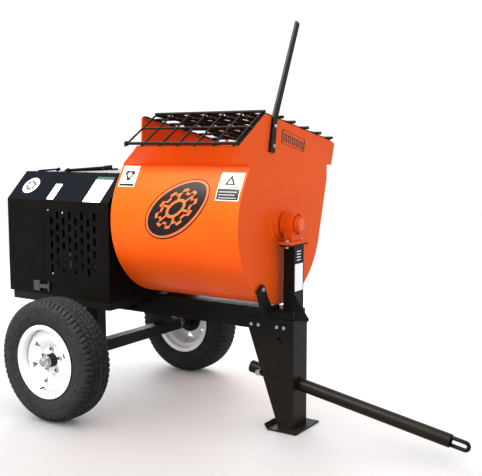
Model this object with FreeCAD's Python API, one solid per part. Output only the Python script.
import FreeCAD, Part
import math
import os

# Towable mortar mixer: a tilting drum with a paddle shaft on a wheeled spine frame.
# Units are millimetres, +Z is up and +X points to the tow eye.
# The shapes are laid out from the wheel axle's line, then shifted so that the
# origin is on the ground under the centre of the foot plate.

Vec = FreeCAD.Vector

# ---- driving dimensions ----
drumRadius = 386.0
drumLength = 737.0
drumRearX = 230.0
drumClearance = 20.0
drumSheet = 5.0
plateSheet = 6.0
tyreRadius = 305.0
tyreWidth = 176.0
tyreGap = 89.0
axleSize = 60.0
railHalf = 60.0
railBottom = 470.0
railDeep = 105.0
railRear = -380.0
hoodHalf = 373.0
hoodSlopeWide = 141.0
hoodRearX = -515.0
hoodSeamX = -245.0
hoodSheet = 2.5
standCover = 61.0
standWall = 6.0
footLength = 174.0
footWide = 116.0
footThick = 8.0
postGap = 35.0
postDeep = 58.0
postHalf = 45.0
bearingDrop = 99.0
bearingRadius = 56.0
trunnionRadius = 38.0
shaftRadius = 20.0
runningGap = 0.06
paddleGap = 11.0
towAngle = 10.09
towRadius = 30.15
towHoleZ = 214.0
towTail = 272.0
towReach = 743.0
grateRod = 5.0
bullTeeth = 65
pinionTeeth = 13

# Sizes that follow. The mouth, the gears and the housing's height are laid out for a
# drum of 386 radius and grow with it.
drumRatio = drumRadius / 386.0
axleZ = tyreRadius
trackHalf = hoodHalf + tyreGap + tyreWidth / 2.0
railTop = railBottom + railDeep
drumFrontX = drumRearX + drumLength
drumAxisZ = railTop + drumClearance + drumRadius
paddleReach = drumRadius - drumSheet - paddleGap
gearModule = 6.0 * drumRatio
hoodFrontX = drumRearX - 28.0
hoodBottom = railTop + 2.0
hoodShoulder = drumAxisZ + 89.0 * drumRatio
hoodTop = drumAxisZ + 231.0 * drumRatio
hoodTopHalf = hoodHalf - hoodSlopeWide
postRearX = drumFrontX + postGap
postFrontX = postRearX + postDeep
postTop = drumAxisZ - bearingDrop
railFront = postFrontX + 2.0
standFrontX = railFront + 8.0
standTop = railBottom + standCover
footRearX = standFrontX - 130.0
footFrontX = footRearX + footLength
footCentreX = (footRearX + footFrontX) / 2.0
towRearX = standFrontX - towTail
towFrontX = standFrontX + towReach


def box(x0, x1, y0, y1, z0, z1):
    return Part.makeBox(x1 - x0, y1 - y0, z1 - z0, Vec(x0, y0, z0))


def rod(start, end, radius):
    a = Vec(*start)
    d = Vec(*end).sub(a)
    return Part.makeCylinder(radius, d.Length, a, d)


def alongX(x0, x1, y, z, radius):
    return rod((x0, y, z), (x1, y, z), radius)


def alongY(y0, y1, x, z, radius):
    return rod((x, y0, z), (x, y1, z), radius)


def alongZ(z0, z1, x, y, radius):
    return rod((x, y, z0), (x, y, z1), radius)


def face(points):
    pts = [Vec(*p) for p in points]
    return Part.Face(Part.makePolygon(pts + [pts[0]]))


def prismX(yz, x0, x1):
    return face([(x0, y, z) for y, z in yz]).extrude(Vec(x1 - x0, 0, 0))


def prismY(xz, y0, y1):
    return face([(x, y0, z) for x, z in xz]).extrude(Vec(0, y1 - y0, 0))


def prismZ(xy, z0, z1):
    return face([(x, y, z0) for x, y in xy]).extrude(Vec(0, 0, z1 - z0))


def join(shapes):
    whole = shapes[0]
    if len(shapes) > 1:
        whole = whole.multiFuse(shapes[1:])
    return whole.removeSplitter()


def mirrorY(shape):
    return shape.mirror(Vec(0, 0, 0), Vec(0, 1, 0))


def save(name, shape):
    placed = shape.copy()
    placed.translate(Vec(-footCentreX, 0, 0))
    solids = placed.Solids
    if len(solids) == 1:
        placed = solids[0]
    else:
        placed = Part.makeCompound(solids)
    placed.exportStep("parts/" + name + ".step")
    box3 = placed.BoundBox
    print(name, len(solids), placed.isValid(), round(placed.Volume / 1000.0, 1),
          [round(v) for v in (box3.XMin, box3.XMax, box3.YMin, box3.YMax, box3.ZMin, box3.ZMax)])


os.makedirs("parts", exist_ok=True)

# ---- spine frame ----
railWall = 5.0
rail = box(railRear, railFront, -railHalf, railHalf, railBottom, railTop)
railCore = box(railRear - 1, railFront - railWall, -railHalf + railWall, railHalf - railWall,
               railBottom + railWall, railTop - railWall)
save("spine_rail", rail.cut(railCore))

# Tapered outriggers carry the engine deck on both sides of the rail.
outriggerWide = 60.0
outriggerWall = 4.0
outriggerXs = (-380.0, 10.0)
outriggerEnd = hoodHalf - 28.0
outriggerYZ = [(railHalf, railTop - 95), (railHalf + 41, railTop - 95), (railHalf + 146, railTop - 35),
               (outriggerEnd, railTop - 30), (outriggerEnd, railTop), (railHalf, railTop)]
outriggerCoreYZ = [(railHalf + 1, railTop - 105), (railHalf + 39, railTop - 105),
                   (railHalf + 147, railTop - 39), (outriggerEnd - 4, railTop - 34),
                   (outriggerEnd - 4, railTop - 4), (railHalf + 1, railTop - 4)]
outriggers = []
for x0 in outriggerXs:
    shell = prismX(outriggerYZ, x0, x0 + outriggerWide)
    core = prismX(outriggerCoreYZ, x0 + outriggerWall, x0 + outriggerWide - outriggerWall)
    arm = shell.cut(core)
    outriggers += [arm, mirrorY(arm)]
save("deck_outriggers", Part.makeCompound(outriggers))

# Folded steel deck under the engine.
deckRearX = hoodRearX + 25.0
deckFrontX = hoodFrontX - 3.0
deckHalf = hoodHalf - 3.0
deckSheet = 6.0
deckDrop = railTop - 40.0
deckTop = railTop + deckSheet
deck = box(deckRearX, deckFrontX, -deckHalf, deckHalf, deckDrop, deckTop)
deckCore = box(deckRearX + 4, deckFrontX - 4, -deckHalf + 4, deckHalf - 4, deckDrop - 1, railTop)
railNotch = box(0, deckFrontX + 1, -railHalf - 1, railHalf + 1, deckDrop - 1, railTop)
save("engine_deck", deck.cut(deckCore).cut(railNotch))

# ---- axle ----
axleEnd = trackHalf - 120.0
half = axleSize / 2.0
axle = box(-half, half, -axleEnd, axleEnd, axleZ - half, axleZ + half)
axleCore = box(-half + 5, half - 5, -axleEnd + 6, axleEnd - 6, axleZ - half + 5, axleZ + half - 5)
save("axle_tube", axle.cut(axleCore))

legOuter = hoodHalf - 68.0
legInner = legOuter - 60.0
legJoin = railTop - 45.0
leg = box(-half, 57, -legOuter, -legInner, axleZ + half, legJoin)
leg = leg.cut(box(-half - 1, 51, -legOuter + 6, -legInner - 6, axleZ + half + 6, legJoin + 1))
armSlope = 5.0 / (outriggerEnd - railHalf - 146.0)
innerRise = railTop - 35.0 + armSlope * (legInner - railHalf - 146.0)
outerRise = railTop - 35.0 + armSlope * (legOuter - railHalf - 146.0)
top = prismX([(-legOuter, outerRise), (-legOuter, legJoin), (-legInner, legJoin), (-legInner, innerRise)],
             10, 57)
leg = join([leg, top])
save("axle_legs", Part.makeCompound([leg, mirrorY(leg)]))


# ---- wheels: profiles are (radius, distance outboard) turned about the axle line ----
def turned(profile, side, centre=trackHalf):
    pts = [(r, side * (centre + a), axleZ) for r, a in profile]
    solid = face(pts).revolve(Vec(0, 0, axleZ), Vec(0, 1, 0), 360)
    return solid


rimBead = 165.0
rimLip = 182.0
rimLipOut = 78.0
hubRadius = 33.0
boltCircle = 57.15
spindleRadius = 17.0
deep = (tyreRadius - rimBead) / 140.0
wide = tyreWidth / 176.0
outerHalf = [(50, 86), (80, 88), (107, 84), (127, 74), (135, 60), (139, 35)]
innerHalf = [(51, 72), (80, 75), (103, 71), (117, 58), (123, 30)]
outerHalf = [(rimBead + r * deep, y * wide) for r, y in outerHalf]
innerHalf = [(rimBead + r * deep, y * wide) for r, y in innerHalf]
tyreOuter = [(rimBead, -66), (188, -74)] + [(r, -y) for r, y in outerHalf] + [(tyreRadius, 0)]
tyreOuter += outerHalf[::-1] + [(188, 74), (rimBead, 66)]
tyreInner = [(rimBead, 50), (190, 58)] + innerHalf + [(tyreRadius - 15, 0)]
tyreInner += [(r, -y) for r, y in innerHalf[::-1]] + [(190, -58), (rimBead, -50)]
rimProfile = [(rimBead, -70), (176, -72), (rimLip, -rimLipOut), (rimLip - 3, -rimLipOut - 1), (172, -76),
              (161, -75), (160.5, -48), (138, -40), (138, 8), (160.5, 20), (161, 75), (172, 76),
              (rimLip - 3, rimLipOut + 1), (rimLip, rimLipOut), (176, 72), (rimBead, 70), (rimBead, 17),
              (142.5, 5), (142.5, -37), (rimBead, -45)]
discProfile = [(hubRadius + 0.5, 14), (70, 14), (86, 26), (108, 42), (136, 42), (148, 32), (148, 12),
               (153, 14.7), (153, 36), (139, 47), (106, 47), (83, 31), (68, 19), (hubRadius + 0.5, 19)]
hubProfile = [(spindleRadius + runningGap, -70), (40, -70), (42, -6), (72, -4), (72, 13.8),
              (hubRadius, 13.8), (hubRadius, 62), (spindleRadius + runningGap, 62)]
capProfile = [(0, 72), (0, 94), (14, 93), (22, 88), (25, 80), (25, 66), (33, 64), (33, 62), (20, 62),
              (20, 70)]
spindleProfile = [(0, axleEnd - trackHalf), (34, axleEnd - trackHalf), (34, axleEnd - trackHalf + 12),
                  (24, axleEnd - trackHalf + 14), (24, -72), (spindleRadius, -70.5),
                  (spindleRadius, 58), (12, 58), (12, 69), (0, 69)]
ventCount = 6
lugCount = 5


def wheelPoint(angle, radius, outboard, side):
    a = math.radians(angle)
    return (radius * math.cos(a), side * (trackHalf + outboard), axleZ + radius * math.sin(a))


spindles = []
for side, tag in ((-1, "near"), (1, "far")):
    save("tyre_" + tag, turned(tyreOuter + tyreInner, side))
    rim = join([turned(rimProfile, side), turned(discProfile, side)])
    cutters = []
    for i in range(ventCount):
        angle = 360.0 / ventCount * i + 18
        tip = wheelPoint(angle, 85, 0, side)
        left = wheelPoint(angle - 10, 119, 0, side)
        right = wheelPoint(angle + 10, 119, 0, side)
        cutters.append(face([tip, left, right]).extrude(Vec(0, side * 60, 0)))
    for i in range(lugCount):
        angle = 360.0 / lugCount * i + 90
        start = wheelPoint(angle, boltCircle, 10, side)
        end = wheelPoint(angle, boltCircle, 25, side)
        cutters.append(rod(start, end, 7.0))
    cutters.append(rod(wheelPoint(-110, 150, 25, side), wheelPoint(-110, 150, 55, side), 5.0))
    save("rim_" + tag, rim.cut(Part.makeCompound(cutters)))
    hub = turned(hubProfile, side)
    studs = []
    nuts = []
    for i in range(lugCount):
        angle = 360.0 / lugCount * i + 90
        start = wheelPoint(angle, boltCircle, 12, side)
        end = wheelPoint(angle, boltCircle, 34, side)
        studs.append(rod(start, end, 6.0))
        nut = rod(wheelPoint(angle, boltCircle, 19, side), wheelPoint(angle, boltCircle, 33, side), 10.5)
        nuts.append(nut.cut(rod(start, wheelPoint(angle, boltCircle, 40, side), 6.0)))
    save("hub_" + tag, join([hub] + studs))
    save("grease_cap_" + tag, turned(capProfile, side))
    save("lug_nuts_" + tag, Part.makeCompound(nuts))
    spindles.append(turned(spindleProfile, side))

save("spindles", Part.makeCompound(spindles))

# ---- front stand and foot ----
standRearTopX = standFrontX - 250.0
standRearBottomX = standFrontX - 84.0
sidePlate = [(standRearTopX, railBottom), (standRearTopX, standTop), (standFrontX, standTop),
             (standFrontX, footThick), (standRearBottomX, footThick)]
standHalf = railHalf + standWall
stand = [prismY(sidePlate, -standHalf, -railHalf), prismY(sidePlate, railHalf, standHalf),
         box(standFrontX - standWall, standFrontX, -standHalf, standHalf, footThick, standTop)]
standShape = join(stand)
towSlope = math.tan(math.radians(towAngle))


def towPoint(x, across=0.0):
    """Point on the tow pole's line at x, moved square to the line in its upright plane."""
    a = math.radians(towAngle)
    return (x + across * math.sin(a), 0.0, towHoleZ + (standFrontX - x) * towSlope + across * math.cos(a))


towDir = (math.cos(math.radians(towAngle)), 0.0, -math.sin(math.radians(towAngle)))
sleeveWall = 6.0
sleeveRearX = standFrontX - 165.0
sleeve = rod(towPoint(sleeveRearX), towPoint(standFrontX - 2), towRadius + sleeveWall)
sleeveHoles = rod(towPoint(standFrontX - 370), towPoint(standFrontX + 130), towRadius + 0.3)
finRear = standFrontX - 145.0
finFront = standFrontX - 6.0
fin = prismY([(finRear, towHoleZ + 18), (finRear, towHoleZ + 24), (finFront, towHoleZ - 2),
              (finFront, towHoleZ - 8)], -railHalf, railHalf)
keyX = standFrontX - 80.0
keyZ = standTop - 92.0
keyTail = box(keyX - 4, keyX + 4, -standHalf - 1, -railHalf + 1, keyZ - 29, keyZ)
keyTail.rotate(Vec(keyX, 0, keyZ), Vec(0, 1, 0), -46)
keySlot = join([alongY(-standHalf - 1, -railHalf + 1, keyX, keyZ, 9.0), keyTail])
standShape = join([standShape, sleeve, fin]).cut(sleeveHoles).cut(keySlot)
standBoltXs = [standFrontX - back for back in (232.0, 192.0, 89.0, 51.0)]
standBoltZ = railBottom + 23.0
boltHoles = [alongY(-standHalf - 1, standHalf + 1, x, standBoltZ, 6.5) for x in standBoltXs]
railHoles = Part.makeCompound(boltHoles)
save("front_stand", standShape.cut(railHoles))
bolts = []
for x in standBoltXs:
    for side in (-1, 1):
        headIn = side * standHalf
        headOut = side * (standHalf + 8)
        shankIn = side * (railHalf + 0.5)
        bolts.append(join([alongY(headIn, headOut, x, standBoltZ, 10.5),
                           alongY(shankIn, headIn, x, standBoltZ, 6.2)]))

footTurn = 24.0
footOutline = [(footRearX, footTurn), (footRearX + 4, footTurn + 6), (footRearX + 22, footThick),
               (footFrontX, footThick), (footFrontX, 0), (footRearX + 19, 0)]
save("foot_plate", prismY(footOutline, -footWide, footWide))

# ---- upper post, stop bracket and front bearing ----
postWall = 5.0
post = box(postRearX, postFrontX, -postHalf, postHalf, railTop, postTop)
postCore = box(postRearX + postWall, postFrontX - postWall, -postHalf + postWall, postHalf - postWall,
               railTop + 6, postTop + 1)
padHalf = 84.0
padTop = postTop + 8.0
pad = box(postRearX - 2, postFrontX + 2, -padHalf, padHalf, postTop, padTop)
gussetRise = railTop + 125.0
gussetXZ = [(postRearX + 2, railTop), (postRearX + 2, gussetRise), (postRearX + 31, gussetRise),
            (standFrontX + 72, standTop + 12), (standFrontX + 62, standTop), (railFront + 4, standTop),
            (railFront + 4, railTop)]
gusset = prismY(gussetXZ, -postHalf - 6, -postHalf)
bearingBoltY = 66.0
bearingBoltX = (postRearX + postFrontX) / 2.0
padHoles = Part.makeCompound([alongZ(postTop - 1, padTop + 20, bearingBoltX, y, 7.0)
                              for y in (-bearingBoltY, bearingBoltY)])
save("upper_post", join([post.cut(postCore), pad.cut(padHoles), gusset]))

stopOutline = [(-postHalf - 6.5, 0), (-postHalf - 6.5, 26), (-124, 29), (-150, 65), (-186, 131),
               (-207, 143), (-226, 125), (-249, 116), (-200, -15), (-170, -15), (-railHalf - 40, -2),
               (-railHalf - 2, 0)]
stopYZ = [(y, railTop + z) for y, z in stopOutline]
stopRearX = drumFrontX + 8.0
stopFrontX = stopRearX + 10.0
stopBoltY = -205.0
stopBoltZ = railTop + 119.0
stopPlate = prismX(stopYZ, stopRearX, stopFrontX)
stopFoot = box(stopFrontX, postRearX - 0.5, -railHalf - 40, -postHalf - 6.5, railTop, railTop + 6)
stopPlate = stopPlate.cut(alongX(stopRearX - 5, stopFrontX + 10, stopBoltY, stopBoltZ, 6.3))
save("drum_stop_bracket", join([stopPlate, stopFoot]))
stopBolt = join([alongX(stopRearX - 5, stopFrontX + 7, stopBoltY, stopBoltZ, 6.0),
                 alongX(stopFrontX + 0.2, stopFrontX + 7, stopBoltY, stopBoltZ, 11.0)])

housingRearX = postRearX - 17.0
housingFrontX = postFrontX - 10.0
housing = join([alongX(housingRearX, housingFrontX, 0, drumAxisZ, bearingRadius),
                box(postRearX + 1, postFrontX - 13, -48, 48, padTop, drumAxisZ - 20),
                box(postRearX - 2, postFrontX + 2, -padHalf, padHalf, padTop, padTop + 12)])
housing = housing.cut(alongX(housingRearX - 1, housingFrontX + 1, 0, drumAxisZ,
                             trunnionRadius + runningGap))
housing = housing.cut(alongX(housingFrontX - 9, housingFrontX + 1, 0, drumAxisZ, bearingRadius - 7))
save("front_bearing", housing.cut(padHoles))
padBolts = []
for y in (-bearingBoltY, bearingBoltY):
    shank = alongZ(postTop - 10, padTop + 12, bearingBoltX, y, 6.0)
    head = alongZ(padTop + 12, padTop + 22, bearingBoltX, y, 11.0)
    nut = alongZ(postTop - 10, postTop, bearingBoltX, y, 11.0)
    padBolts.append(join([shank, head, nut]))
save("frame_bolts", Part.makeCompound(bolts + [stopBolt] + padBolts))

# ---- rear bearing pedestal, inside the housing ----
pedestalFrontX = hoodFrontX - 12.0
pedestalRearX = pedestalFrontX - 42.0
pedestalOut = box(pedestalRearX, pedestalFrontX, -postHalf, postHalf, deckTop, drumAxisZ)
pedestalCore = box(pedestalRearX + 5, pedestalFrontX - 5, -postHalf + 5, postHalf - 5, deckTop + 6,
                   drumAxisZ - bearingRadius - 6)
rearHousing = alongX(pedestalRearX, pedestalFrontX, 0, drumAxisZ, bearingRadius)
pedestalFoot = box(pedestalRearX - 30, pedestalFrontX + 4, -80, 80, deckTop, deckTop + 6)
pedestal = join([pedestalOut.cut(pedestalCore), rearHousing, pedestalFoot])
rearBore = alongX(pedestalRearX - 1, pedestalFrontX + 1, 0, drumAxisZ, trunnionRadius + runningGap)
save("rear_pedestal", pedestal.cut(rearBore))

# ---- drum shell: the barrel leaves its circle along tangents up to the open mouth ----
leftLeave = math.radians(150.0)
rightLeave = math.radians(-16.0)


def onDrum(y, z):
    """Point across the drum, given from its axis."""
    return (y * drumRatio, drumAxisZ + z * drumRatio)


mouthNotch = onDrum(-288.0, 275.0)
rightBend = onDrum(456.0, 197.0)
rightTop = onDrum(461.0, 271.0)
lipTop = onDrum(505.0, 392.0)
peak = onDrum(-153.0, 511.0)
shoulder = onDrum(-376.0, 364.0)


def drumOutline(inset, upper, x):
    """Face across the drum at x, its barrel line moved in by inset."""
    r = drumRadius - inset
    left = (r * math.cos(leftLeave), drumAxisZ + r * math.sin(leftLeave))
    right = (r * math.cos(rightLeave), drumAxisZ + r * math.sin(rightLeave))
    bottom = (0.0, drumAxisZ - r)
    arc = Part.Arc(Vec(x, *left), Vec(x, *bottom), Vec(x, *right)).toShape()
    pts = [Vec(x, *right)] + [Vec(x, y, z) for y, z in upper] + [Vec(x, *left)]
    line = Part.makePolygon(pts)
    return Part.Face(Part.Wire([arc] + line.Edges))


def moved(point, dy, dz=0.0):
    return (point[0] + dy, point[1] + dz)


barrelUpper = [rightBend, rightTop, mouthNotch]
barrelInner = [moved(rightBend, -drumSheet), moved(rightTop, -drumSheet), moved(rightTop, -drumSheet, 40),
               moved(mouthNotch, drumSheet, 40), moved(mouthNotch, drumSheet)]
barrelX0 = drumRearX + plateSheet
barrelX1 = drumFrontX - plateSheet
span = Vec(barrelX1 - barrelX0, 0, 0)
barrelSolid = drumOutline(0.0, barrelUpper, barrelX0).extrude(span)
barrelVoid = drumOutline(drumSheet, barrelInner, barrelX0 - 1).extrude(Vec(span.x + 2, 0, 0))
mouthCut = prismX([(mouthNotch[0] + 5.2, mouthNotch[1] - 4), (rightTop[0] - 5.2, rightTop[1] - 4),
                   (rightTop[0] - 5.2, rightTop[1] + 48), (mouthNotch[0] + 5.2, rightTop[1] + 48)],
                  barrelX0 - 1, barrelX1 + 1)
lipCut = box(barrelX0 - 1, barrelX1 + 1, 0, rightTop[0] + 19, rightTop[1], rightTop[1] + 48)
barrelShell = barrelSolid.cut(barrelVoid).cut(mouthCut).cut(lipCut)
# Stiffening box along the charging lip, with closed ends left to the plates.
lipYZ = [moved(rightTop, -drumSheet), rightTop, moved(rightTop, 45, -3), moved(lipTop, 36, -13), lipTop]
lipInnerYZ = [moved(rightTop, 4, 3.5), moved(rightTop, 42, 0.8), moved(lipTop, 31, -15.5),
              moved(lipTop, 2.5, -5)]
lipBox = prismX(lipYZ, barrelX0, barrelX1).cut(prismX(lipInnerYZ, barrelX0 + 4, barrelX1 - 4))
save("drum_barrel", barrelShell)
lugYZ = [moved(lipTop, -5, -11), moved(lipTop, 19, -11), moved(lipTop, 12, 23), moved(lipTop, -6, 23)]
hingeY = lipTop[0] + 3.0
hingeZ = lipTop[1] + 15.0
lipLugs = [prismX(lugYZ, x, x + 8).cut(alongX(x - 1, x + 9, hingeY, hingeZ, grateRod + runningGap))
           for x in (drumRearX + 70, drumFrontX - 77)]
lipEnds = [prismX(lipYZ, drumRearX, barrelX0), prismX(lipYZ, barrelX1, drumFrontX)]
save("lip_stiffener", join([lipBox] + lipEnds + lipLugs))

plateBore = trunnionRadius
frontUpper = [rightBend, (rightTop[0] - drumSheet - 0.2, rightTop[1]),
              (lipTop[0] - 0.2, lipTop[1]), peak, shoulder, mouthNotch]
rearCorner = onDrum(-152.0, 366.0)
rearUpper = [rightBend, (rightTop[0] - drumSheet - 0.2, rightTop[1]), (lipTop[0] - 0.2, lipTop[1]),
             moved(peak, 7, -1.5), rearCorner, mouthNotch]
frontPlate = drumOutline(0.0, frontUpper, barrelX1).extrude(Vec(plateSheet, 0, 0))
handleBolts = (onDrum(-92.0, 457.0), onDrum(-107.0, 367.0))
plateHoles = [alongX(barrelX1 - 1, drumFrontX + 1, 0, drumAxisZ, plateBore)]
plateHoles += [alongX(barrelX1 - 1, drumFrontX + 1, y, z, 6.5) for y, z in handleBolts]
save("front_plate", frontPlate.cut(Part.makeCompound(plateHoles)))
rearPlate = drumOutline(0.0, rearUpper, drumRearX).extrude(Vec(plateSheet, 0, 0))
save("rear_plate", rearPlate.cut(alongX(drumRearX - 1, barrelX0 + 1, 0, drumAxisZ, plateBore)))

# Discharge spout: a flared panel with a sloping side at the engine end.
spoutLeftBottom = barrelX0
spoutLeftTop = drumRearX + 165.0
dy = shoulder[0] - mouthNotch[0]
dz = shoulder[1] - mouthNotch[1]
slant = math.hypot(dy, dz)
ny = dz / slant * drumSheet
nz = -dy / slant * drumSheet
panelYZ = [mouthNotch, shoulder, moved(shoulder, ny, nz), moved(mouthNotch, ny, nz)]
panel = prismX(panelYZ, barrelX0, barrelX1)
trim = prismY([(barrelX0 - 10, mouthNotch[1] + 1), (spoutLeftTop, shoulder[1] + 1),
               (spoutLeftTop, shoulder[1] + 55), (barrelX0 - 10, shoulder[1] + 55)],
              shoulder[0] - 74, mouthNotch[0] + 88)
panel = panel.cut(trim)
a = Vec(barrelX0, mouthNotch[0] + 4, mouthNotch[1])
b = Vec(spoutLeftTop + 2, shoulder[0] + 3, shoulder[1])
c = Vec(barrelX0, rearCorner[0] + 2, rearCorner[1])
normal = b.sub(a).cross(c.sub(a))
normal.normalize()
cheek = Part.Face(Part.makePolygon([a, b, c, a])).extrude(normal.multiply(drumSheet))
cheek = cheek.cut(box(barrelX0 - 200, barrelX0, -600, 600, drumAxisZ, drumAxisZ + 700))
save("spout_panel", join([panel, cheek]))

# ---- trunnions ----
tubeFrontX = housingFrontX + 16.0
beadRadius = 90.0
flangeRadius = 108.0
shaftBore = shaftRadius + runningGap
frontTrunnion = join([alongX(barrelX1 - 8, tubeFrontX, 0, drumAxisZ, trunnionRadius),
                      Part.makeCone(flangeRadius, flangeRadius - 7, 4, Vec(drumFrontX, 0, drumAxisZ),
                                    Vec(1, 0, 0)),
                      Part.makeCone(78, 72, 7, Vec(drumFrontX + 4, 0, drumAxisZ), Vec(1, 0, 0))])
save("front_trunnion", frontTrunnion.cut(alongX(barrelX1 - 20, tubeFrontX + 20, 0, drumAxisZ, shaftBore)))
tubeRearX = pedestalRearX - 6.0
rearTrunnion = join([alongX(tubeRearX, barrelX0 + 8, 0, drumAxisZ, trunnionRadius),
                     Part.makeCone(beadRadius, 62, 8, Vec(drumRearX, 0, drumAxisZ), Vec(-1, 0, 0))])
save("rear_trunnion", rearTrunnion.cut(alongX(tubeRearX - 20, barrelX0 + 30, 0, drumAxisZ, shaftBore)))

# ---- paddle shaft, arms and blades ----
gearX1 = tubeRearX - 20.0
gearX0 = gearX1 - 32.0
shaftRearX = gearX0 - 12.0
collarX = tubeFrontX + 1.0
collarEndX = tubeFrontX + 7.0
shaft = join([alongX(shaftRearX, collarEndX, 0, drumAxisZ, shaftRadius),
              alongX(collarX, collarEndX, 0, drumAxisZ, 30.0)])
save("mixer_shaft", shaft)
armXs = [drumRearX + drumLength * part / 737.0 for part in (100.0, 275.0, 460.0, 635.0)]
bladeHalf = drumLength * 82.0 / 737.0
bladeStart = paddleReach - 45.0
armAngles = (190.0, 350.0, 190.0, 350.0)
arms = []
blades = []
for x, angle, lean in zip(armXs, armAngles, (24.0, -24.0, 24.0, -24.0)):
    clampRing = alongX(x - 25, x + 25, 0, drumAxisZ, shaftRadius + 14)
    clampRing = clampRing.cut(alongX(x - 26, x + 26, 0, drumAxisZ, shaftRadius))
    arm = box(x - 20, x + 20, shaftRadius + 10, bladeStart, drumAxisZ - 7, drumAxisZ + 7)
    arm = join([clampRing, arm.rotate(Vec(x, 0, drumAxisZ), Vec(1, 0, 0), angle)])
    arms.append(arm)
    blade = box(x - bladeHalf, x + bladeHalf, bladeStart, paddleReach, drumAxisZ - 5, drumAxisZ + 5)
    blade.rotate(Vec(x, 0, drumAxisZ), Vec(0, 1, 0), lean)
    blade.rotate(Vec(x, 0, drumAxisZ), Vec(1, 0, 0), angle)
    blades.append(blade)
save("paddle_arms", Part.makeCompound(arms))
save("paddle_blades", Part.makeCompound(blades))


def gear(teeth, module, x0, x1, y, z, bore, phase):
    """Spur gear with straight flanked teeth about an axle along X."""
    root = module * (teeth / 2.0 - 1.2)
    tip = module * (teeth / 2.0 + 0.95)
    pitch = module * teeth / 2.0
    points = []
    step = 2 * math.pi / teeth
    for i in range(teeth):
        mid = phase + i * step
        for radius, offset in ((root, -0.34), (pitch, -0.235), (tip, -0.12), (tip, 0.12), (pitch, 0.235),
                               (root, 0.34)):
            angle = mid + offset * step
            points.append((y + radius * math.cos(angle), z + radius * math.sin(angle)))
    body = prismX(points, x0, x1)
    return body.cut(alongX(x0 - 1, x1 + 1, y, z, bore))


pitchDistance = gearModule * (bullTeeth + pinionTeeth) / 2.0
jackZ = drumAxisZ - pitchDistance
bull = gear(bullTeeth, gearModule, gearX0, gearX1, 0.0, drumAxisZ, shaftRadius, -math.pi / 2)
holeCircle = 120.0 * drumRatio
lightening = []
for i in range(6):
    t = math.radians(60 * i)
    y = holeCircle * math.cos(t)
    z = drumAxisZ + holeCircle * math.sin(t)
    lightening.append(alongX(gearX0 - 1, gearX1 + 1, y, z, 38.0 * drumRatio))
bull = bull.cut(Part.makeCompound(lightening))
save("bull_gear", bull)
jackRadius = 14.0
pinionPhase = math.pi / 2 + math.pi / pinionTeeth
pinion = gear(pinionTeeth, gearModule, gearX0 - 4, gearX1 + 4, 0.0, jackZ, jackRadius, pinionPhase)
save("pinion", pinion)

# ---- countershaft, pulleys and belt ----
jackRearX = -80.0
jackFrontX = gearX1 + 10
save("countershaft", alongX(jackRearX, jackFrontX, 0, jackZ, jackRadius))
bracketXs = ((-72.0, -60.0), (52.0, 64.0))
brackets = []
for x0, x1 in bracketXs:
    web = prismX([(-75, deckTop), (75, deckTop), (34, jackZ), (-34, jackZ)], x0, x1)
    foot = box(x0 - 12, x1 + 12, -75, 75, deckTop, deckTop + 6)
    boss = alongX(x0 - 4, x1 + 4, 0, jackZ, 34.0)
    bracket = join([web, foot, boss])
    brackets.append(bracket.cut(alongX(x0 - 9, x1 + 9, 0, jackZ, jackRadius + runningGap)))
save("countershaft_brackets", Part.makeCompound(brackets))
beltX = -10.0
bigPulley = 122.0 * drumRatio
smallPulley = 42.0
engineY = -190.0
engineZ = deckTop + 125.0
grooveDeep = 9.0
beltHalf = 5.6


def pulley(radius, y, z, bore):
    profile = [(bore, -18), (radius, -18), (radius, -9), (radius - grooveDeep, -6),
               (radius - grooveDeep, 6), (radius, 9), (radius, 18), (bore, 18)]
    pts = [(beltX + a, y, z + r) for r, a in profile]
    return face(pts).revolve(Vec(0, y, z), Vec(1, 0, 0), 360)


save("driven_pulley", pulley(bigPulley, 0.0, jackZ, jackRadius))


def beltLoop(inset):
    r1 = bigPulley - inset
    r2 = smallPulley - inset
    cy = engineY
    cz = engineZ - jackZ
    dist = math.hypot(cy, cz)
    base = math.atan2(cz, cy)
    open1 = math.acos((r1 - r2) / dist)
    x = beltX - beltHalf
    pts = []
    for centre, r, angle in (((0.0, jackZ), r1, base + open1), ((0.0, jackZ), r1, base + math.pi),
                             ((0.0, jackZ), r1, base - open1), ((engineY, engineZ), r2, base - open1),
                             ((engineY, engineZ), r2, base), ((engineY, engineZ), r2, base + open1)):
        pts.append(Vec(x, centre[0] + r * math.cos(angle), centre[1] + r * math.sin(angle)))
    edges = [Part.Arc(pts[0], pts[1], pts[2]).toShape(), Part.makeLine(pts[2], pts[3]),
             Part.Arc(pts[3], pts[4], pts[5]).toShape(), Part.makeLine(pts[5], pts[0])]
    return Part.Face(Part.Wire(edges)).extrude(Vec(2 * beltHalf, 0, 0))


save("drive_belt", beltLoop(0.8).cut(beltLoop(grooveDeep - 1.1)))

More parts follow.
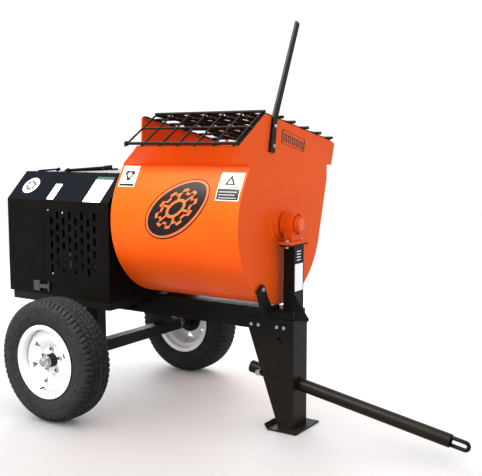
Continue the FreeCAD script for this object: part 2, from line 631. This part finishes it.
# ---- engine ----
crankRearX = -440.0
blockX0 = -395.0
blockX1 = -135.0
block = join([box(blockX0, blockX1, engineY - 95, engineY + 130, deckTop, engineZ + 85),
              alongX(blockX1 - 1, blockX1 + 12, engineY, engineZ, 60.0)])
blockWall = 14.0
block = block.cut(box(blockX0 + blockWall, blockX1 - blockWall, engineY - 95 + blockWall,
                      engineY + 130 - blockWall, deckTop + blockWall, engineZ + 85 - blockWall))
block = block.cut(alongX(blockX1 - 60, blockX1 + 20, engineY, engineZ, 12.5 + runningGap))
save("engine_block", block)
crank = alongX(blockX1 - 59, beltX + 20, engineY, engineZ, 12.5)
save("engine_pulley", join([pulley(smallPulley, engineY, engineZ, 12.0), crank]))
headY0 = engineY + 130.0
fins = [box(-350, -180, headY0, headY0 + 110, engineZ - 66, engineZ + 74)]
finBox = []
for i in range(8):
    y0 = headY0 + 10 + i * 12.0
    finBox.append(box(-368, -162, y0, y0 + 6, engineZ - 84, engineZ + 92))
save("engine_cylinder", join(fins + finBox))
coverX0 = -452.0
cover = join([Part.makeCone(96, 118, 30, Vec(coverX0, engineY + 15, engineZ), Vec(1, 0, 0)),
              alongX(coverX0 + 30, blockX0, engineY + 15, engineZ, 118.0)])
cover = cover.cut(alongX(coverX0 + 30, blockX0 - 3, engineY + 15, engineZ, 114.0))
save("fan_cover", cover.cut(box(-500, 0, -500, 500, 0, deckTop)))
grip = join([box(-476, -464, engineY - 25, engineY + 35, engineZ + 52, engineZ + 66),
             alongX(-465, coverX0 - 0.4, engineY + 5, engineZ + 59, 5.0)])
save("starter_grip", grip)
tank = box(-400, -130, engineY - 60, engineY + 190, engineZ + 130, engineZ + 260)
tank = tank.makeFillet(24, tank.Edges)
tankCore = box(-397, -133, engineY - 57, engineY + 187, engineZ + 133, engineZ + 257)
tank = tank.cut(tankCore.makeFillet(21, tankCore.Edges))
tankFeet = [box(x, x + 24, y, y + 24, engineZ + 85, engineZ + 131) for x in (-380, -180)
            for y in (engineY - 30, engineY + 90)]
capX = -265.0
neck = alongZ(engineZ + 259, engineZ + 276, capX, engineY + 60, 26.0)
save("fuel_tank", join([tank, neck] + tankFeet))
capRing = alongZ(engineZ + 266, engineZ + 296, capX, engineY + 60, 33.0)
capVoid = alongZ(engineZ + 265, engineZ + 277, capX, engineY + 60, 26.3)
save("fuel_cap", capRing.cut(capVoid))
muffler = box(-360, -170, headY0 + 120, headY0 + 215, engineZ - 6, engineZ + 154)
muffler = muffler.makeFillet(20, muffler.Edges)
mufflerCore = box(-357, -173, headY0 + 123, headY0 + 212, engineZ - 3, engineZ + 151)
muffler = muffler.cut(mufflerCore.makeFillet(17, mufflerCore.Edges))
save("muffler", join([muffler, alongY(headY0 + 110, headY0 + 122, -265, engineZ + 39, 14.0)]))

# ---- engine housing ----
hoodYZ = [(-hoodHalf, hoodBottom), (-hoodHalf, hoodShoulder), (-hoodTopHalf, hoodTop),
          (hoodTopHalf, hoodTop), (hoodHalf, hoodShoulder), (hoodHalf, hoodBottom)]
t = hoodSheet
hoodCoreYZ = [(-hoodHalf + t, hoodBottom - 1), (-hoodHalf + t, hoodShoulder - t * 0.41),
              (-hoodTopHalf + t * 0.41, hoodTop - t), (hoodTopHalf - t * 0.41, hoodTop - t),
              (hoodHalf - t, hoodShoulder - t * 0.41), (hoodHalf - t, hoodBottom - 1)]
seamGap = 1.0
frontHood = prismX(hoodYZ, hoodSeamX + seamGap, hoodFrontX)
frontHood = frontHood.cut(prismX(hoodCoreYZ, hoodSeamX, hoodFrontX - t))
trunnionSlot = join([alongX(hoodFrontX - 20, hoodFrontX + 5, 0, drumAxisZ, 98.0),
                     box(hoodFrontX - 20, hoodFrontX + 5, -98, 98, hoodBottom - 77, drumAxisZ)])
slotWide = 18.0
slotHigh = 41.0
slotPitchX = 42.7
slotPitchZ = 62.0
slotCutters = []
for column in range(8):
    x = -190.0 + slotPitchX * column
    zTop = hoodShoulder - (73.0 if column % 2 else 104.0)
    for row in range(5):
        z = zTop - slotPitchZ * row
        r = slotWide / 2.0
        up = z + slotHigh / 2.0 - r
        low = z - slotHigh / 2.0 + r
        for side in (-1, 1):
            y0, y1 = sorted((side * (hoodHalf - 6), side * (hoodHalf + 3)))
            slotCutters.append(box(x - r, x + r, y0, y1, low, up))
            slotCutters.append(alongY(y0, y1, x, up, r))
            slotCutters.append(alongY(y0, y1, x, low, r))
frontHood = frontHood.cut(trunnionSlot).cut(Part.makeCompound(slotCutters))
hingeTop = hoodTop + 5.3
hingeEnd = hoodTopHalf - 22.0
knuckleLong = (2 * hingeEnd - 20.0) / 4.0
knuckles = []
for i in range(4):
    y0 = -hingeEnd + i * (knuckleLong + 4.0)
    knuckles.append((y0, y0 + knuckleLong))
frontKnuckles = [alongY(-hingeEnd + 1, knuckles[3][1] - 1, hoodSeamX, hingeTop, 2.5)]
rearKnuckles = []
for i, (y0, y1) in enumerate(knuckles):
    barrel = alongY(y0, y1, hoodSeamX, hingeTop, 5.0)
    if i % 2:
        leaf = box(hoodSeamX, hoodSeamX + 26, y0, y1, hoodTop - 0.5, hoodTop + 2)
        frontKnuckles += [barrel, leaf]
    else:
        barrel = join([barrel, box(hoodSeamX - 26, hoodSeamX - 1.5, y0, y1, hoodTop - 0.5, hoodTop + 2),
                       box(hoodSeamX - 5, hoodSeamX - 1.5, y0, y1, hoodTop + 0.5, hoodTop + 5)])
        rearKnuckles.append(barrel.cut(alongY(y0 - 1, y1 + 1, hoodSeamX, hingeTop, 2.5 + runningGap)))
latchZ = hoodBottom + 43.0
latchPads = []
for side in (-1, 1):
    low, high = sorted((side * (hoodHalf - 1), side * (hoodHalf + 2.2)))
    latchPads.append(box(hoodSeamX + 19, hoodSeamX + 45, low, high, latchZ - 20, latchZ + 20))
leverY = -hoodTopHalf + 17.0
leverPivotX = hoodSeamX + 27.0
leverPost = alongZ(hoodTop - 1, hoodTop + 20, leverPivotX, leverY, 5.0)
save("hood_front", join([frontHood, leverPost] + frontKnuckles + latchPads))
rearHood = prismX(hoodYZ, hoodRearX, hoodSeamX - seamGap)
rearHood = rearHood.cut(prismX(hoodCoreYZ, hoodRearX + t, hoodSeamX))
grab = [rod((-440, leverY, hoodTop + 2), (-290, leverY, hoodTop + 13), 5.0),
        Part.makeSphere(9.0, Vec(-288, leverY, hoodTop + 13)),
        alongZ(hoodTop - 1, hoodTop + 13, -300, leverY, 4.0)]
save("hood_rear", join([rearHood] + rearKnuckles + grab))

# Rubber draw latches across the seam, one on each side.
latchX = hoodSeamX - 35.0
latchBases = []
for side, tag in ((-1, "near"), (1, "far")):
    y0 = side * (hoodHalf + 0.3)
    y1 = side * (hoodHalf + 9)
    low, high = sorted((y0, y1))
    base = box(latchX - 42, latchX - 8, low, high, latchZ - 26, latchZ + 26)
    pinOut = alongZ(latchZ - 26, latchZ + 26, latchX, side * (hoodHalf + 8), 5.0)
    lug = [box(latchX - 10, latchX, low, high, latchZ + up, latchZ + up + 10) for up in (-26, 16)]
    latchBases.append(join([base, pinOut] + lug))
    y2 = side * (hoodHalf + 2.5)
    y3 = side * (hoodHalf + 13.5)
    low, high = sorted((y2, y3))
    eye = alongZ(latchZ - 15, latchZ + 15, latchX, side * (hoodHalf + 8), 7.5)
    eye = eye.cut(alongZ(latchZ - 16, latchZ + 16, latchX, side * (hoodHalf + 8), 5.06))
    strap = box(latchX + 6.5, latchX + 66, low, high, latchZ - 9, latchZ + 9)
    bar = alongZ(latchZ - 24, latchZ + 24, latchX + 68, side * (hoodHalf + 8), 5.5)
    save("latch_strap_" + tag, join([eye, strap, bar]))

save("latch_bases", Part.makeCompound(latchBases))

# Clutch lever lying along the top, turning on an upright pivot.
leverTipX = hoodFrontX - 136.0
leverTip = (leverTipX, leverY + 22, hoodTop + 30)
lever = join([rod((leverPivotX, leverY, hoodTop + 9), leverTip, 6.0),
              alongZ(hoodTop + 0.4, hoodTop + 16, leverPivotX, leverY, 15.0),
              rod((leverTipX - 40, leverY + 19, hoodTop + 27), leverTip, 9.0)])
leverBore = alongZ(hoodTop - 1, hoodTop + 17, leverPivotX, leverY, 5.06)
save("clutch_lever", lever.cut(leverBore))

# ---- dump handle: flat bar, bent at the drum's peak ----
handleLine = (onDrum(-112.0, 337.0) + (40.0,), onDrum(-86.0, 493.0) + (36.0,),
              onDrum(122.0, 949.0) + (28.0,))
handleThick = 12.0
left = []
right = []
for i, (y, z, wide) in enumerate(handleLine):
    y0, z0, _ = handleLine[max(i - 1, 0)]
    y1, z1, _ = handleLine[min(i + 1, 2)]
    length = math.hypot(y1 - y0, z1 - z0)
    ay = (y1 - y0) / length
    az = (z1 - z0) / length
    left.append((y - az * wide / 2, z + ay * wide / 2))
    right.append((y + az * wide / 2, z - ay * wide / 2))
handle = prismX(left + right[::-1], drumFrontX, drumFrontX + handleThick)
boltBores = [alongX(drumFrontX - 1, drumFrontX + 20, y, z, 6.5) for y, z in handleBolts]
save("dump_handle", handle.cut(Part.makeCompound(boltBores)))
handleFasteners = []
for y, z in handleBolts:
    handleFasteners.append(join([alongX(barrelX1 - 9, drumFrontX + handleThick, y, z, 6.2),
                                 alongX(drumFrontX + handleThick, drumFrontX + handleThick + 8, y, z, 10.5),
                                 alongX(barrelX1 - 9, barrelX1, y, z, 10.5)]))
save("handle_bolts", Part.makeCompound(handleFasteners))

# ---- grate: a hipped grid of round bars on a flat frame ----
grateX0 = drumRearX + 107.0
grateX1 = drumFrontX - 9.0
grateLift = 0.5
frameThick = 6.0
barRadius = 7.5
barOutX = drumFrontX + 23.0
crossYs = [y * drumRatio for y in (-35.0, 76.0, 211.0, 343.0, 470.0)]
riserPitch = (grateX1 - grateX0) / 621.0
riserXs = [grateX0 + riserPitch * along for along in (0.0, 100.0, 209.0, 306.0, 405.0, 509.0, 613.0)]
lowerBarY = shoulder[0] - 3.0
lowerBarZ = shoulder[1] + 14.0
sideBars = ((drumFrontX - 29, drumFrontX - 3), (drumRearX + 4, drumRearX + 26))
grateMidX = (drumRearX + drumFrontX) / 2.0 - 2.5
lipEdge = lipTop[0] - 7.0
linkY = lipTop[0] - 39.0


def backZ(y):
    return lipTop[1] + (lipTop[0] - y) / (lipTop[0] - peak[0]) * (peak[1] - lipTop[1])


def strip(points, x0, x1, lift, thick):
    lower = [(y, z + lift) for y, z in points]
    upper = [(y, z + lift + thick) for y, z in points]
    return prismX(lower + upper[::-1], x0, x1)


ridge = (peak[0], peak[1] + frameThick + 5.0)
barLift = grateLift + frameThick + 3.5
frontStrip = [(lipEdge, backZ(lipEdge)), peak, moved(shoulder, 6, 4)]
rearStrip = [(lipEdge, backZ(lipEdge)), (peak[0] + 15, backZ(peak[0] + 15))]
pieces = [strip(frontStrip, *sideBars[0], grateLift, frameThick),
          strip(rearStrip, *sideBars[1], grateLift, frameThick)]
barRearX = drumRearX + 6.0
barEndX = drumFrontX - 5.0
for y in crossYs:
    pieces.append(alongX(barRearX, barOutX, y, backZ(y) + barLift, barRadius))
pieces.append(alongX(barRearX, barEndX, hingeY, hingeZ, grateRod))
for x0, x1 in sideBars + ((grateMidX - 6, grateMidX + 6),):
    pieces.append(prismX([(linkY, backZ(linkY) + 1), (linkY, backZ(linkY) + 7), (hingeY, hingeZ + 3),
                          (hingeY, hingeZ - 3)], x0, x1))
pieces.append(alongX(grateX0 - 8, barEndX, ridge[0], ridge[1], barRadius))
pieces.append(alongX(grateX0 - 4, barEndX, lowerBarY, lowerBarZ, barRadius))
midY = (ridge[0] + lowerBarY) / 2.0
midZ = (ridge[1] + lowerBarZ) / 2.0
pieces.append(alongX(grateX0 - 4, barEndX, midY, midZ, 5.6))
overY = lowerBarY - 18.0
overZ = lowerBarZ - 11.5
for x in riserXs:
    pieces.append(rod((x, overY, overZ), (x, ridge[0], ridge[1]), grateRod))
knobX = grateX0 - 4.0
pieces.append(alongX(knobX - 6, knobX + 6, lowerBarY, lowerBarZ, 12.0))
pieces.append(Part.makeCone(7.0, 12.0, 5.0, Vec(knobX - 11, lowerBarY, lowerBarZ), Vec(1, 0, 0)))
pieces.append(Part.makeCone(12.0, 7.0, 5.0, Vec(knobX + 6, lowerBarY, lowerBarZ), Vec(1, 0, 0)))
rows = [(ridge[0], ridge[1])] + [(y, backZ(y) + barLift) for y in crossYs]
zigCount = 12
zigThick = 4.5
zigDrop = 13.0
zigRise = 4.5
zigLap = 3.5
zigStep = (grateX1 - 5 - grateX0) / zigCount
for i in range(len(rows) - 1):
    for k in range(zigCount):
        first = rows[i + (k + i) % 2]
        second = rows[i + (k + i + 1) % 2]
        x0 = grateX0 + k * zigStep
        x1 = x0 + zigStep
        run = Vec(zigStep, second[0] - first[0], 0)
        lap = zigLap / run.Length
        start = (x0 - lap * run.x, first[0] - lap * run.y, first[1])
        end = (x1 + lap * run.x, second[0] + lap * run.y, second[1])
        side = Vec(run.y, -run.x, 0)
        side.normalize()
        side.multiply(zigThick / 2.0)
        drop = zigDrop + 0.3 * (k % 2)
        rise = zigRise + 0.2 * (k % 2) + 0.1 * (i % 2)
        strap = face([(start[0] - side.x, start[1] - side.y, start[2] - drop),
                      (end[0] - side.x, end[1] - side.y, end[2] - drop),
                      (end[0] - side.x, end[1] - side.y, end[2] + rise),
                      (start[0] - side.x, start[1] - side.y, start[2] + rise)])
        pieces.append(strap.extrude(side.multiply(2.0)))
save("grate", join(pieces))

# ---- tow pole, eye and pin ----
towWall = 4.0
pole = rod(towPoint(towRearX), towPoint(towFrontX), towRadius)
pole = pole.cut(rod(towPoint(towRearX - 5), towPoint(towFrontX + 5), towRadius - towWall))
pinX = standFrontX - 205.0
pinRadius = 8.0
pinCentre = towPoint(pinX)
pinBore = alongY(-50, 50, pinCentre[0], pinCentre[2], pinRadius + runningGap)
save("tow_pole", pole.cut(pinBore))
pin = join([alongY(-52, 56, pinCentre[0], pinCentre[2], pinRadius),
            alongY(-58, -towRadius - 5, pinCentre[0], pinCentre[2], 13.0)])
save("tow_pin", pin)
eyeBar = 9.0
eyeHalf = towRadius - towWall - eyeBar
eyeStart = towFrontX - 48.0
eyeEnd = towFrontX + 62.0
eyeParts = []
for lift in (-eyeHalf, eyeHalf):
    eyeParts.append(rod(towPoint(eyeStart, lift), towPoint(eyeEnd, lift), eyeBar))
bendCentre = Vec(*towPoint(eyeEnd))
bendRing = Part.makeTorus(eyeHalf, eyeBar, bendCentre, Vec(0, 1, 0))
keepSide = box(0, 200, -60, 60, -60, 60)
keepSide.rotate(Vec(0, 0, 0), Vec(0, 1, 0), towAngle)
keepSide.translate(bendCentre)
save("tow_eye", join(eyeParts + [bendRing.common(keepSide)]))
